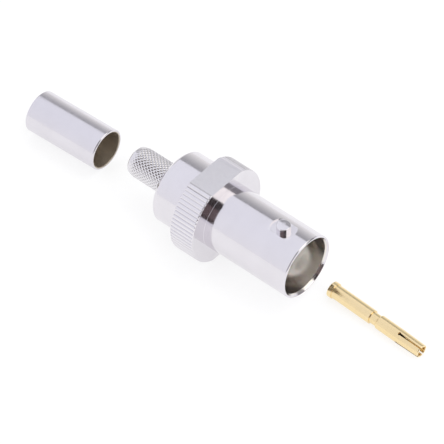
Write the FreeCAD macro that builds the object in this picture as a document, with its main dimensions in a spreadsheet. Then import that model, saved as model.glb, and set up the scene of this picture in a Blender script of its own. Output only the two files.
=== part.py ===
"""Coaxial bayonet cable jack with its loose crimp ferrule and centre contact.

Frame: millimetres, +Z up. The origin is on the connector's axis, midway between the two
bayonet studs. +X points out of the mouth along that axis, and the two wrench flats of the
flange are level. The jack rests on its lower flat, and the ferrule and the contact lie on
the same surface.
"""

import FreeCAD
import Part

import math
import os

import Sketcher

# Driving dimensions in millimetres, unless a name ends in angle or count
SIZES = [
    ("shell_diameter", 9.65, "mating shell, outside"),
    ("shell_length", 14.2, "mouth face to the flange"),
    ("shell_wall", 0.575, "wall round the mouth bore"),
    ("lip_edge", 0.15, "rounded outer edge of the mouth"),
    ("lead_rise", 0.3, "lead-in cone, wider than the mouth bore all round"),
    ("lead_depth", 0.4, "lead-in cone, along the axis"),
    ("mouth_bore_depth", 4.7, "mouth face to the end of the mouth bore"),
    ("contact_bore_step", 0.19, "inner bore, narrower than the mouth bore all round"),
    ("contact_bore_depth", 8.9, "mouth face to the shoulder that stops the plug"),
    ("shoulder_thickness", 0.8, "shoulder, along the axis"),
    ("flange_diameter", 14.4, "knurled flange, outside"),
    ("flange_length", 4.0, "knurled flange, along the axis"),
    ("flange_edge", 0.2, "chamfer on both edges of the flange"),
    ("flat_depth", 0.75, "depth of each wrench flat below the knurl"),
    ("knurl_count", 72, "teeth round the flange"),
    ("knurl_depth", 0.22, "depth of the groove between two teeth"),
    ("rear_diameter", 10.9, "plain rear barrel, outside"),
    ("rear_length", 5.0, "plain rear barrel, along the axis"),
    ("rear_edge", 0.45, "chamfer on the rear edge of the barrel"),
    ("stud_diameter", 2.0, "bayonet stud"),
    ("stud_position", 4.15, "mouth face to the stud's centre"),
    ("stud_height", 0.675, "tip of the stud above the shell"),
    ("stud_foot_rise", 0.45, "flared foot, wider than the stud all round"),
    ("stud_foot_height", 0.3, "flared foot above the shell"),
    ("stud_tip_edge", 0.15, "chamfer on the tip of the stud"),
    ("stud_setback", 0.12, "stud's inner end behind the mouth bore's wall"),
    ("nose_diameter", 4.8, "nose of the front insulator"),
    ("nose_depth", 4.9, "mouth face to the nose"),
    ("nose_edge", 0.25, "chamfer on the nose"),
    ("nose_step", 0.7, "insulator in the shoulder's hole, proud of the nose"),
    ("shoulder_lip", 0.4, "insulators in their bore, proud of the shoulder's hole"),
    ("front_insulator_end", 13.7, "mouth face to the joint between the insulators"),
    ("catch_length", 0.9, "lip that snaps into the contact's groove"),
    ("catch_play", 0.15, "room for the lip on each side of it in the groove"),
    ("contact_clearance", 0.075, "radial room round the contact in its hole"),
    ("entry_flare", 0.35, "funnel, wider than the contact's hole all round"),
    ("entry_depth", 0.5, "funnel, along the axis"),
    ("sleeve_head_rise", 0.5, "sleeve's head, proud of the insulators"),
    ("sleeve_seat_depth", 2.7, "sleeve's head, along the axis"),
    ("sleeve_diameter", 4.6, "crimp sleeve, outside"),
    ("sleeve_wall", 0.725, "wall of the crimp sleeve"),
    ("sleeve_length", 7.4, "crimp sleeve behind the barrel"),
    ("sleeve_nose_length", 1.1, "plain tapered end of the sleeve"),
    ("sleeve_nose_drop", 0.2, "taper of that end, in radius"),
    ("sleeve_nose_edge", 0.2, "chamfer on the very end of the sleeve"),
    ("braid_room", 0.45, "radial room for the braid between sleeve and ferrule"),
    ("ferrule_wall", 0.4, "wall of the ferrule"),
    ("ferrule_length", 12.3, "ferrule, along its axis"),
    ("ferrule_edge", 0.1, "chamfer on the ferrule's four edges"),
    ("ferrule_gap", 6.45, "end of the sleeve to the ferrule where it lies"),
    ("ferrule_aside", 0.91, "ferrule's near end beside the connector's axis"),
    ("ferrule_turn_angle", 2.1, "the ferrule's axis turned about Z, in degrees"),
    ("pin_diameter", 2.05, "barrel of the centre contact"),
    ("pin_tip_depth", 5.1, "mouth face to the contact's tip once it is pushed home"),
    ("pin_collar_rise", 0.15, "collar at the crimp end, proud of the barrel"),
    ("pin_collar_length", 0.7, "collar, along the axis"),
    ("pin_edge", 0.1, "small chamfers on the contact"),
    ("pin_groove_depth", 0.2, "groove that the lip snaps into"),
    ("pin_closing", 0.075, "how far each tine closes in at the tip"),
    ("pin_slot_length", 3.7, "slots from the tip to their root"),
    ("pin_slot_width", 0.3, "slot at its root"),
    ("pin_slot_tip_width", 0.2, "slot at the tip, where the tines close in"),
    ("pin_relief_diameter", 0.45, "round hole that ends each slot"),
    ("pin_socket_diameter", 1.35, "socket for the mating pin"),
    ("pin_socket_depth", 5.6, "socket, from the tip"),
    ("pin_wire_hole", 1.0, "hole for the cable's centre wire"),
    ("pin_wire_depth", 5.0, "hole for the wire, from the crimp end"),
    ("pin_gap", 2.08, "mouth face to the contact where it lies"),
    ("pin_aside", 2.94, "contact's crimp end beside the connector's axis"),
    ("pin_turn_angle", -2.3, "the contact's axis turned about Z, in degrees"),
    ("pin_roll_angle", 20.0, "the contact rolled about its own axis, in degrees"),
]
MARGIN = 1.0  # how far a cutting profile reaches past what it cuts

doc = FreeCAD.newDocument("bayonet_jack")
sheet = doc.addObject("Spreadsheet::Sheet", "Sizes")
for row, (alias, value, meaning) in enumerate(SIZES, start=1):
    sheet.set(f"A{row}", alias)
    sheet.set(f"B{row}", str(value))
    sheet.set(f"C{row}", meaning)
    sheet.setAlias(f"B{row}", alias)
doc.recompute()


def cell(alias):
    """The expression that reads one cell of the sheet."""
    return f"Sizes.{alias}"


def half(alias):
    """The expression for half of one cell, such as a radius."""
    return f"(Sizes.{alias} / 2)"


def behind_mouth(distance):
    """The X of a station that lies some distance behind the mouth face."""
    return f"({cell('stud_position')} - ({distance}))"


# Stations along the axis, as distances behind the mouth face
FLANGE_FRONT = cell("shell_length")
FLANGE_REAR = f"({FLANGE_FRONT} + {cell('flange_length')})"
BARREL_REAR = f"({FLANGE_REAR} + {cell('rear_length')})"
SHOULDER_REAR = f"({cell('contact_bore_depth')} + {cell('shoulder_thickness')})"
SLEEVE_SEAT = f"({BARREL_REAR} - {cell('sleeve_seat_depth')})"
SLEEVE_REAR = f"({BARREL_REAR} + {cell('sleeve_length')})"
INSULATOR_JOINT = cell("front_insulator_end")

# Radii, each worked out from what it fits on or in
SHELL = half("shell_diameter")
MOUTH_BORE = f"({SHELL} - {cell('shell_wall')})"
CONTACT_BORE = f"({MOUTH_BORE} - {cell('contact_bore_step')})"
LEAD_IN = f"({MOUTH_BORE} + {cell('lead_rise')})"
FLANGE = half("flange_diameter")
FLAT = f"({FLANGE} - {cell('flat_depth')})"
BARREL = half("rear_diameter")
NOSE = half("nose_diameter")
SHOULDER_HOLE = f"({NOSE} + {cell('nose_step')})"
INSULATOR = f"({SHOULDER_HOLE} + {cell('shoulder_lip')})"
SLEEVE_HEAD = f"({INSULATOR} + {cell('sleeve_head_rise')})"
SLEEVE = half("sleeve_diameter")
SLEEVE_BORE = f"({SLEEVE} - {cell('sleeve_wall')})"
SLEEVE_NOSE = f"({SLEEVE} - {cell('sleeve_nose_drop')})"
FERRULE_BORE = f"({SLEEVE} + {cell('braid_room')})"
FERRULE = f"({FERRULE_BORE} + {cell('ferrule_wall')})"
PIN = half("pin_diameter")
PIN_COLLAR = f"({PIN} + {cell('pin_collar_rise')})"
PIN_GROOVE = f"({PIN} - {cell('pin_groove_depth')})"
PIN_TIP = f"({PIN} - {cell('pin_closing')})"
CONTACT_HOLE = f"({PIN} + {cell('contact_clearance')})"
CATCH_HOLE = f"({PIN_GROOVE} + {cell('contact_clearance')})"
ENTRY = f"({CONTACT_HOLE} + {cell('entry_flare')})"


def origin_plane(body, role):
    """One of the three origin planes of a body, such as XZ_Plane."""
    for feature in body.Origin.OriginFeatures:
        if feature.Role == role:
            return feature
    raise ValueError(f"{body.Label} has no {role}")


def new_body(name):
    """An empty body whose label names its file."""
    body = doc.addObject("PartDesign::Body", name)
    body.Label = name
    return body


def new_sketch(body, name, role):
    """A sketch that lies on one of the body's own origin planes."""
    sketch = body.newObject("Sketcher::SketchObject", name)
    sketch.AttachmentSupport = (origin_plane(body, role), "")
    sketch.MapMode = "FlatFace"
    return sketch


def pin_down(sketch, geometry, vertex, axis, expression):
    """Hold one coordinate of a sketch point at an expression measured from the origin."""
    value = evaluate(expression)
    if abs(value) < 1e-9:
        axis_line = -2 if axis == "X" else -1
        sketch.addConstraint(Sketcher.Constraint("PointOnObject", geometry, vertex, axis_line))
        return
    index = sketch.addConstraint(
        Sketcher.Constraint(f"Distance{axis}", -1, 1, geometry, vertex, value))
    sketch.setExpression(f"Constraints[{index}]", expression)


def evaluate(expression):
    """The present value of an expression as a plain number."""
    return float(sheet.evalExpression(str(expression)))


def closed_outline(sketch, points):
    """Draw a closed outline through points given as pairs of expressions."""
    places = [FreeCAD.Vector(evaluate(a), evaluate(b), 0) for a, b in points]
    for index, start in enumerate(places):
        end = places[(index + 1) % len(places)]
        sketch.addGeometry(Part.LineSegment(start, end), False)
    for index in range(len(places)):
        following = (index + 1) % len(places)
        sketch.addConstraint(Sketcher.Constraint("Coincident", index, 2, following, 1))
    for index, (across, up) in enumerate(points):
        pin_down(sketch, index, 1, "X", across)
        pin_down(sketch, index, 1, "Y", up)


def turned(body, name, points):
    """Revolve an outline of (along the axis, radius) pairs about the X axis."""
    sketch = new_sketch(body, f"{name}_outline", "XZ_Plane")
    closed_outline(sketch, points)
    feature = body.newObject("PartDesign::Revolution", name)
    feature.Profile = sketch
    feature.ReferenceAxis = (sketch, ["H_Axis"])
    feature.Angle = 360
    doc.recompute()
    return feature


def cut_through(body, name, sketch, span):
    """Pocket a sketch both ways from its plane, and make sure that it cut."""
    before = body.Shape.Volume
    pocket = body.newObject("PartDesign::Pocket", name)
    pocket.Profile = sketch
    pocket.Midplane = True
    pocket.setExpression("Length", span)
    doc.recompute()
    if not body.Shape.Volume < before:
        raise ValueError(f"{name} cut nothing from {body.Label}")
    return pocket


# Connector body: mating shell, knurled flange with two flats, rear barrel
connector_body = new_body("connector_body")
turned(connector_body, "body_turned", [
    (behind_mouth("0"), LEAD_IN),
    (behind_mouth("0"), f"{SHELL} - {cell('lip_edge')}"),
    (behind_mouth(cell("lip_edge")), SHELL),
    (behind_mouth(FLANGE_FRONT), SHELL),
    (behind_mouth(FLANGE_FRONT), f"{FLANGE} - {cell('flange_edge')}"),
    (behind_mouth(f"{FLANGE_FRONT} + {cell('flange_edge')}"), FLANGE),
    (behind_mouth(f"{FLANGE_REAR} - {cell('flange_edge')}"), FLANGE),
    (behind_mouth(FLANGE_REAR), f"{FLANGE} - {cell('flange_edge')}"),
    (behind_mouth(FLANGE_REAR), BARREL),
    (behind_mouth(f"{BARREL_REAR} - {cell('rear_edge')}"), BARREL),
    (behind_mouth(BARREL_REAR), f"{BARREL} - {cell('rear_edge')}"),
    (behind_mouth(BARREL_REAR), SLEEVE_HEAD),
    (behind_mouth(SLEEVE_SEAT), SLEEVE_HEAD),
    (behind_mouth(SLEEVE_SEAT), INSULATOR),
    (behind_mouth(SHOULDER_REAR), INSULATOR),
    (behind_mouth(SHOULDER_REAR), SHOULDER_HOLE),
    (behind_mouth(cell("contact_bore_depth")), SHOULDER_HOLE),
    (behind_mouth(cell("contact_bore_depth")), CONTACT_BORE),
    (behind_mouth(cell("mouth_bore_depth")), CONTACT_BORE),
    (behind_mouth(cell("mouth_bore_depth")), MOUTH_BORE),
    (behind_mouth(cell("lead_depth")), MOUTH_BORE),
])

# Straight knurl: one right-angled V groove along the flange, repeated round the axis
groove_sketch = new_sketch(connector_body, "knurl_groove_outline", "YZ_Plane")
closed_outline(groove_sketch, [
    ("0", f"{FLANGE} - {cell('knurl_depth')}"),
    (f"2 * {cell('knurl_depth')}", f"{FLANGE} + {cell('knurl_depth')}"),
    (f"-2 * {cell('knurl_depth')}", f"{FLANGE} + {cell('knurl_depth')}"),
])
volume_before = connector_body.Shape.Volume
knurl_groove = connector_body.newObject("PartDesign::Pocket", "knurl_groove")
knurl_groove.Profile = groove_sketch
knurl_groove.setExpression("Length", f"{FLANGE_REAR} - {cell('stud_position')} + {MARGIN}")
doc.recompute()
if not connector_body.Shape.Volume < volume_before:
    raise ValueError("the knurl groove cut nothing")
knurl = connector_body.newObject("PartDesign::PolarPattern", "knurl")
knurl.Originals = [knurl_groove]
knurl.Axis = (groove_sketch, ["N_Axis"])
knurl.Angle = 360
knurl.setExpression("Occurrences", cell("knurl_count"))
connector_body.Tip = knurl
doc.recompute()

# Wrench flats: a slab cut from the flange above and below
for side, sign in (("upper", ""), ("lower", "-")):
    flat_sketch = new_sketch(connector_body, f"{side}_flat_outline", "XZ_Plane")
    closed_outline(flat_sketch, [
        (behind_mouth(FLANGE_FRONT), f"{sign}{FLAT}"),
        (behind_mouth(FLANGE_REAR), f"{sign}{FLAT}"),
        (behind_mouth(FLANGE_REAR), f"{sign}({FLANGE} + {MARGIN})"),
        (behind_mouth(FLANGE_FRONT), f"{sign}({FLANGE} + {MARGIN})"),
    ])
    cut_through(connector_body, f"{side}_flat", flat_sketch, f"{cell('flange_diameter')} + {MARGIN}")


def round_outline(body, name, role, along, radius):
    """A circle on the X axis of one of the body's planes, at a station along it."""
    sketch = new_sketch(body, name, role)
    centre = FreeCAD.Vector(evaluate(along), 0, 0)
    sketch.addGeometry(Part.Circle(centre, FreeCAD.Vector(0, 0, 1), evaluate(radius)), False)
    pin_down(sketch, 0, 3, "X", along)
    pin_down(sketch, 0, 3, "Y", "0")
    index = sketch.addConstraint(Sketcher.Constraint("Radius", 0, evaluate(radius)))
    sketch.setExpression(f"Constraints[{index}]", radius)
    return sketch


# Drilled seats for the two studs, right across the shell wall
seat_sketch = round_outline(
    connector_body, "stud_seat_outline", "XY_Plane", "0", half("stud_diameter"))
cut_through(connector_body, "stud_seats", seat_sketch, f"{cell('shell_diameter')} + {MARGIN}")

# Bayonet studs: a shank through the wall, a flared foot on the shell, a chamfered tip
STUD = half("stud_diameter")
STUD_INNER = f"({MOUTH_BORE} + {cell('stud_setback')})"
STUD_TIP = f"({SHELL} + {cell('stud_height')})"
STUD_SHOULDER = f"({STUD_TIP} - {cell('stud_tip_edge')})"
STUD_FOOT_TOP = f"({SHELL} + {cell('stud_foot_height')})"
STUD_FOOT_DROP = f"({cell('stud_foot_rise')} + {cell('stud_foot_height')})"


def bayonet_stud(name, half_turn):
    """One stud, standing up from the shell, or down when turned over."""
    shank = doc.addObject("Part::Cylinder", f"{name}_shank")
    shank.setExpression("Radius", STUD)
    shank.setExpression("Height", f"{STUD_SHOULDER} - {STUD_INNER}")
    shank.setExpression("Placement.Base.z", STUD_INNER)
    tip = doc.addObject("Part::Cone", f"{name}_tip")
    tip.setExpression("Radius1", STUD)
    tip.setExpression("Radius2", f"{STUD} - {cell('stud_tip_edge')}")
    tip.setExpression("Height", cell("stud_tip_edge"))
    tip.setExpression("Placement.Base.z", STUD_SHOULDER)
    foot = doc.addObject("Part::Cone", f"{name}_foot_blank")
    foot.setExpression("Radius1", f"{STUD} + {STUD_FOOT_DROP}")
    foot.setExpression("Radius2", STUD)
    foot.setExpression("Height", STUD_FOOT_DROP)
    foot.setExpression("Placement.Base.z", f"{STUD_FOOT_TOP} - {STUD_FOOT_DROP}")
    wall = doc.addObject("Part::Cylinder", f"{name}_wall")
    wall.setExpression("Radius", SHELL)
    wall.setExpression("Height", cell("shell_length"))
    wall.setExpression("Placement.Base.x", f"-{cell('shell_length')} / 2")
    wall.Placement.Rotation = FreeCAD.Rotation(FreeCAD.Vector(0, 1, 0), 90)
    trimmed = doc.addObject("Part::Cut", f"{name}_foot")
    trimmed.Base = foot
    trimmed.Tool = wall
    stud = doc.addObject("Part::MultiFuse", name)
    stud.Shapes = [shank, tip, trimmed]
    stud.Refine = True
    stud.Label = name
    stud.Placement = FreeCAD.Placement(
        FreeCAD.Vector(), FreeCAD.Rotation(FreeCAD.Vector(1, 0, 0), half_turn))
    return stud


upper_stud = bayonet_stud("upper_bayonet_stud", 0)
lower_stud = bayonet_stud("lower_bayonet_stud", 180)

# Front insulator: nose round the contact, step through the shoulder, catch lip at the rear
CATCH_FRONT = f"({INSULATOR_JOINT} - {cell('catch_length')})"
front_insulator = new_body("front_insulator")
turned(front_insulator, "front_insulator_turned", [
    (behind_mouth(cell("nose_depth")), ENTRY),
    (behind_mouth(cell("nose_depth")), f"{NOSE} - {cell('nose_edge')}"),
    (behind_mouth(f"{cell('nose_depth')} + {cell('nose_edge')}"), NOSE),
    (behind_mouth(cell("contact_bore_depth")), NOSE),
    (behind_mouth(cell("contact_bore_depth")), SHOULDER_HOLE),
    (behind_mouth(SHOULDER_REAR), SHOULDER_HOLE),
    (behind_mouth(SHOULDER_REAR), INSULATOR),
    (behind_mouth(INSULATOR_JOINT), INSULATOR),
    (behind_mouth(INSULATOR_JOINT), CATCH_HOLE),
    (behind_mouth(CATCH_FRONT), CATCH_HOLE),
    (behind_mouth(CATCH_FRONT), CONTACT_HOLE),
    (behind_mouth(f"{cell('nose_depth')} + {cell('entry_depth')}"), CONTACT_HOLE),
])

# Rear insulator: plain bush behind it, with a funnel that guides the contact in
rear_insulator = new_body("rear_insulator")
turned(rear_insulator, "rear_insulator_turned", [
    (behind_mouth(INSULATOR_JOINT), CONTACT_HOLE),
    (behind_mouth(INSULATOR_JOINT), INSULATOR),
    (behind_mouth(SLEEVE_SEAT), INSULATOR),
    (behind_mouth(SLEEVE_SEAT), ENTRY),
    (behind_mouth(f"{SLEEVE_SEAT} - {cell('entry_depth')}"), CONTACT_HOLE),
])

# Crimp sleeve: head pressed into the rear counterbore, tube for the cable's braid
crimp_sleeve = new_body("crimp_sleeve")
turned(crimp_sleeve, "sleeve_turned", [
    (behind_mouth(SLEEVE_SEAT), SLEEVE_BORE),
    (behind_mouth(SLEEVE_SEAT), SLEEVE_HEAD),
    (behind_mouth(BARREL_REAR), SLEEVE_HEAD),
    (behind_mouth(BARREL_REAR), SLEEVE),
    (behind_mouth(f"{SLEEVE_REAR} - {cell('sleeve_nose_length')}"), SLEEVE),
    (behind_mouth(f"{SLEEVE_REAR} - {cell('sleeve_nose_edge')}"), SLEEVE_NOSE),
    (behind_mouth(SLEEVE_REAR), f"{SLEEVE_NOSE} - {cell('sleeve_nose_edge')}"),
    (behind_mouth(SLEEVE_REAR), SLEEVE_BORE),
])

# Ferrule: plain tube that lies on the surface behind the sleeve
FERRULE_FAR = cell("ferrule_length")
ferrule = new_body("ferrule")
turned(ferrule, "ferrule_turned", [
    ("0", f"{FERRULE_BORE} + {cell('ferrule_edge')}"),
    ("0", f"{FERRULE} - {cell('ferrule_edge')}"),
    (f"-{cell('ferrule_edge')}", FERRULE),
    (f"-({FERRULE_FAR} - {cell('ferrule_edge')})", FERRULE),
    (f"-{FERRULE_FAR}", f"{FERRULE} - {cell('ferrule_edge')}"),
    (f"-{FERRULE_FAR}", f"{FERRULE_BORE} + {cell('ferrule_edge')}"),
    (f"-({FERRULE_FAR} - {cell('ferrule_edge')})", FERRULE_BORE),
    (f"-{cell('ferrule_edge')}", FERRULE_BORE),
])
ferrule.setExpression("Placement.Base.x", behind_mouth(f"{SLEEVE_REAR} + {cell('ferrule_gap')}"))
ferrule.setExpression("Placement.Base.y", cell("ferrule_aside"))
ferrule.setExpression("Placement.Base.z", f"{FERRULE} - {FLAT}")
ferrule.Placement.Rotation = FreeCAD.Rotation(
    FreeCAD.Vector(0, 0, 1), evaluate(cell("ferrule_turn_angle")))

# Centre contact: turned pin, grooved for the catch, wire hole behind, slotted socket ahead
PIN_LENGTH = f"({cell('pin_collar_length')} + {SLEEVE_SEAT} - {cell('pin_tip_depth')})"
PIN_GROOVE_START = (
    f"({cell('pin_collar_length')} + {SLEEVE_SEAT} - {INSULATOR_JOINT} - {cell('catch_play')})")
PIN_GROOVE_END = f"({PIN_GROOVE_START} + {cell('catch_length')} + 2 * {cell('catch_play')})"
PIN_SLOT_ROOT = f"({PIN_LENGTH} - {cell('pin_slot_length')})"
PIN_SOCKET = half("pin_socket_diameter")
PIN_SOCKET_END = f"({PIN_LENGTH} - {cell('pin_socket_depth')})"
PIN_WIRE_HOLE = half("pin_wire_hole")
centre_contact = new_body("centre_contact")
turned(centre_contact, "contact_turned", [
    ("0", PIN_WIRE_HOLE),
    ("0", f"{PIN_COLLAR} - {cell('pin_edge')}"),
    (cell("pin_edge"), PIN_COLLAR),
    (cell("pin_collar_length"), PIN_COLLAR),
    (cell("pin_collar_length"), PIN),
    (PIN_GROOVE_START, PIN),
    (PIN_GROOVE_START, PIN_GROOVE),
    (PIN_GROOVE_END, PIN_GROOVE),
    (PIN_GROOVE_END, f"{PIN} - {cell('pin_edge')}"),
    (f"{PIN_GROOVE_END} + {cell('pin_edge')}", PIN),
    (PIN_SLOT_ROOT, PIN),
    (f"{PIN_LENGTH} - {cell('pin_edge')}", PIN_TIP),
    (PIN_LENGTH, f"{PIN_TIP} - {cell('pin_edge')}"),
    (PIN_LENGTH, PIN_SOCKET),
    (PIN_SOCKET_END, PIN_SOCKET),
    (PIN_SOCKET_END, "0"),
    (cell("pin_wire_depth"), "0"),
    (cell("pin_wire_depth"), PIN_WIRE_HOLE),
])

# Two slots at right angles through the socket, each ending in a round relief hole
for direction, role in (("level", "XY_Plane"), ("upright", "XZ_Plane")):
    slot_sketch = new_sketch(centre_contact, f"{direction}_slot_outline", role)
    closed_outline(slot_sketch, [
        (PIN_SLOT_ROOT, half("pin_slot_width")),
        (PIN_SLOT_ROOT, f"-{half('pin_slot_width')}"),
        (f"{PIN_LENGTH} + {cell('pin_edge')}", f"-{half('pin_slot_tip_width')}"),
        (f"{PIN_LENGTH} + {cell('pin_edge')}", half("pin_slot_tip_width")),
    ])
    cut_through(centre_contact, f"{direction}_slot", slot_sketch, f"{cell('pin_diameter')} + {MARGIN}")
    relief_sketch = round_outline(
        centre_contact, f"{direction}_relief_outline", role, PIN_SLOT_ROOT, half("pin_relief_diameter"))
    cut_through(
        centre_contact, f"{direction}_relief", relief_sketch, f"{cell('pin_diameter')} + {MARGIN}")

# The contact lies on its collar and its tip, so its axis dips a little towards the tip
pin_dip = math.degrees(math.asin(
    (evaluate(PIN_COLLAR) - evaluate(PIN_TIP))
    / (evaluate(PIN_LENGTH) - 2 * evaluate(cell("pin_edge")))))
centre_contact.setExpression("Placement.Base.x", behind_mouth(f"-{cell('pin_gap')}"))
centre_contact.setExpression("Placement.Base.y", cell("pin_aside"))
centre_contact.setExpression("Placement.Base.z", f"{PIN_COLLAR} - {FLAT}")
centre_contact.Placement.Rotation = (
    FreeCAD.Rotation(FreeCAD.Vector(0, 0, 1), evaluate(cell("pin_turn_angle")))
    * FreeCAD.Rotation(FreeCAD.Vector(0, 1, 0), pin_dip)
    * FreeCAD.Rotation(FreeCAD.Vector(1, 0, 0), evaluate(cell("pin_roll_angle"))))
doc.recompute()

SUB_PARTS = [
    connector_body,
    upper_stud,
    lower_stud,
    front_insulator,
    rear_insulator,
    crimp_sleeve,
    centre_contact,
    ferrule,
]


def check_document():
    """Stop when any object failed, or when a sub-part has no valid solid."""
    for item in doc.Objects:
        faults = [state for state in item.State if state in ("Invalid", "Error")]
        if faults:
            raise ValueError(f"{item.Name} is {faults}")
    for part in SUB_PARTS:
        shape = part.Shape
        if shape.isNull() or not shape.isValid() or len(shape.Solids) != 1:
            raise ValueError(f"{part.Label} is not one valid solid")


check_document()
os.makedirs("parts", exist_ok=True)
for part in SUB_PARTS:
    part.Shape.exportStep(f"parts/{part.Label}.step")
    box = part.Shape.BoundBox
    print(f"{part.Label}: {part.Shape.Volume:.2f} mm3, {len(part.Shape.Faces)} faces, "
          f"X {box.XMin:.2f} to {box.XMax:.2f}, Y {box.YMin:.2f} to {box.YMax:.2f}, "
          f"Z {box.ZMin:.2f} to {box.ZMax:.2f}")
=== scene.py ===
"""Looks of a coaxial bayonet cable jack, with its loose ferrule and centre contact.

Frame: +Z up, +X out of the mouth, origin on the axis midway between the two bayonet studs.
Profiles are written in millimetres and every finished mesh is in metres. Each piece is turned
from a profile as on a lathe, and then knurled, milled or slotted.
"""

import logging
import math
from dataclasses import dataclass
from enum import Enum

import bmesh
import bpy
from mathutils import Matrix, Vector


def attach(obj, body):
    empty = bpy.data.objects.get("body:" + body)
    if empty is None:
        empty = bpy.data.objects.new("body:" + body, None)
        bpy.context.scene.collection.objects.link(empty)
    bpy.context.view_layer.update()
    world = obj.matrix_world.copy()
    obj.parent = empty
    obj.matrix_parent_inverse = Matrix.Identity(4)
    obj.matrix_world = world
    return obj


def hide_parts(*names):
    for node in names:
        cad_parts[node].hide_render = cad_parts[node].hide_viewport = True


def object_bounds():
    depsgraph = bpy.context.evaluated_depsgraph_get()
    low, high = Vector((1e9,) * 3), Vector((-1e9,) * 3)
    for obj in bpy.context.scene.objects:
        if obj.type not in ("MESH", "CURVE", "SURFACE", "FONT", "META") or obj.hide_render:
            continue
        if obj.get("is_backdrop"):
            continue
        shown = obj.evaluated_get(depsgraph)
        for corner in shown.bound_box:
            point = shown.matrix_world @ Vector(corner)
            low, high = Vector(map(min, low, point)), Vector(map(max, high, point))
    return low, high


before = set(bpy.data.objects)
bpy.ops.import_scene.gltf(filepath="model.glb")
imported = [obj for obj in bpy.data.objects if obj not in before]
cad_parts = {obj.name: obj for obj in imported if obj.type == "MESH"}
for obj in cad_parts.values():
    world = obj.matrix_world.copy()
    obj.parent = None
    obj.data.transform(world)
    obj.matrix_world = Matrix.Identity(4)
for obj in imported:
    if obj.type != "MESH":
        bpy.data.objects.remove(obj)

LOG = logging.getLogger("scene")
MM = 0.001
FULL_TURN = 2.0 * math.pi

# Millimetres: the mouth face on the axis, and the floor that everything lies on.
MOUTH = 4.15
FLOOR_Z = -6.45

# Millimetres: points closer than WELD are one point, and a test of place allows SLACK.
WELD = 1e-5
SLACK = 1e-4

# An edge that bends by more than SHARP_ANGLE stays crisp. At PROUD_ANGLE it is fully exposed to wear.
SHARP_ANGLE = math.radians(38.0)
PROUD_ANGLE = math.radians(35.0)

Colour = tuple[float, float, float]
Stations = list[tuple[float, float, float]]


class Slot(Enum):
    """Material slot names that the pieces carry, which nothing reads."""

    BODY = "nickel_plate"
    SLEEVE = "nickel_knurl"
    TUBE = "nickel_tube"
    GOLD = "gold_plate"
    WHITE = "white_dielectric"


def write_size(name: str) -> dict:
    """Measure the shown object.

    Args:
        name: when it is measured.

    Returns:
        The two corners under that name, as plain lists in metres.
    """
    low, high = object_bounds()
    return {name: [list(low), list(high)]}


@dataclass(frozen=True)
class Corner:
    """A corner of a turned profile, in millimetres.

    Args:
        along: station on the axis.
        radius: distance from the axis.
        rounding: how far the corner is rounded off, 0 for none.
    """

    along: float
    radius: float
    rounding: float = 0.0


def behind_mouth(stations: Stations) -> list[Corner]:
    """Corners of a profile that is measured back from the mouth face.

    Args:
        stations: distance behind the mouth, radius and rounding of each corner.

    Returns:
        The corners, in the same order.
    """
    return [Corner(MOUTH - behind, radius, rounding) for behind, radius, rounding in stations]


@dataclass(frozen=True)
class Lathe:
    """Turns closed profiles round the X axis.

    Args:
        steps: facets round the axis.
        rounding_segments: facets across a rounded corner.
    """

    steps: int
    rounding_segments: int = 3

    def turn(self, corners: list[Corner]) -> bmesh.types.BMesh:
        """Spin a profile into a closed solid.

        Args:
            corners: the outline, in order.

        Returns:
            The solid, in millimetres.
        """
        solid = bmesh.new()
        verts = [solid.verts.new((c.along, 0.0, c.radius)) for c in corners]
        solid.faces.new(verts)
        for size in sorted({c.rounding for c in corners if c.rounding > 0.0}):
            rounded = [v for v, c in zip(verts, corners) if c.rounding == size]
            bmesh.ops.bevel(
                solid, geom=rounded, offset=size, offset_type="OFFSET", affect="VERTICES",
                segments=self.rounding_segments, profile=0.5, material=-1)
        bmesh.ops.delete(solid, geom=list(solid.faces), context="FACES_ONLY")
        bmesh.ops.spin(
            solid, geom=list(solid.verts) + list(solid.edges), cent=(0, 0, 0), axis=(1, 0, 0),
            angle=FULL_TURN, steps=self.steps, use_merge=True)
        bmesh.ops.remove_doubles(solid, verts=list(solid.verts), dist=WELD)
        on_axis = [e for e in solid.edges if not e.link_faces]
        bmesh.ops.delete(solid, geom=on_axis, context="EDGES")
        bmesh.ops.recalc_face_normals(solid, faces=list(solid.faces))
        return solid


def mark_edges(solid: bmesh.types.BMesh) -> None:
    """Store how proud each corner is, for the wear in the finishes.

    Args:
        solid: what is marked.
    """
    layer = solid.verts.layers.float.new("edge_wear")
    solid.normal_update()
    for vert in solid.verts:
        bends = [e.calc_face_angle_signed(0.0) for e in vert.link_edges]
        vert[layer] = min(1.0, max(0.0, max(bends, default=0.0)) / PROUD_ANGLE)


def carve(target: bmesh.types.BMesh, cutter: bmesh.types.BMesh) -> bmesh.types.BMesh:
    """Cut one solid out of another.

    Args:
        target: what is cut, in millimetres.
        cutter: what is taken away, in millimetres.

    Returns:
        The carved solid.
    """
    objects = []
    for part in (target, cutter):
        mesh = bpy.data.meshes.new("blank")
        part.to_mesh(mesh)
        part.free()
        objects.append(bpy.data.objects.new("blank", mesh))
        bpy.context.scene.collection.objects.link(objects[-1])
    cut = objects[0].modifiers.new("cut", "BOOLEAN")
    cut.operation = "DIFFERENCE"
    cut.solver = "EXACT"
    cut.use_self = True
    cut.object = objects[1]
    graph = bpy.context.evaluated_depsgraph_get()
    graph.update()
    carved = bmesh.new()
    carved.from_object(objects[0], graph)
    for blank in objects:
        mesh = blank.data
        bpy.data.objects.remove(blank)
        bpy.data.meshes.remove(mesh)
    bmesh.ops.remove_doubles(carved, verts=list(carved.verts), dist=WELD)
    bmesh.ops.recalc_face_normals(carved, faces=list(carved.faces))
    return carved


def opaque(colour: Colour, share: float = 1.0) -> tuple[float, float, float, float]:
    """A colour, or a darker share of it, as the four values of a socket."""
    red, green, blue = (channel * share for channel in colour)
    return red, green, blue, 1.0


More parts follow.
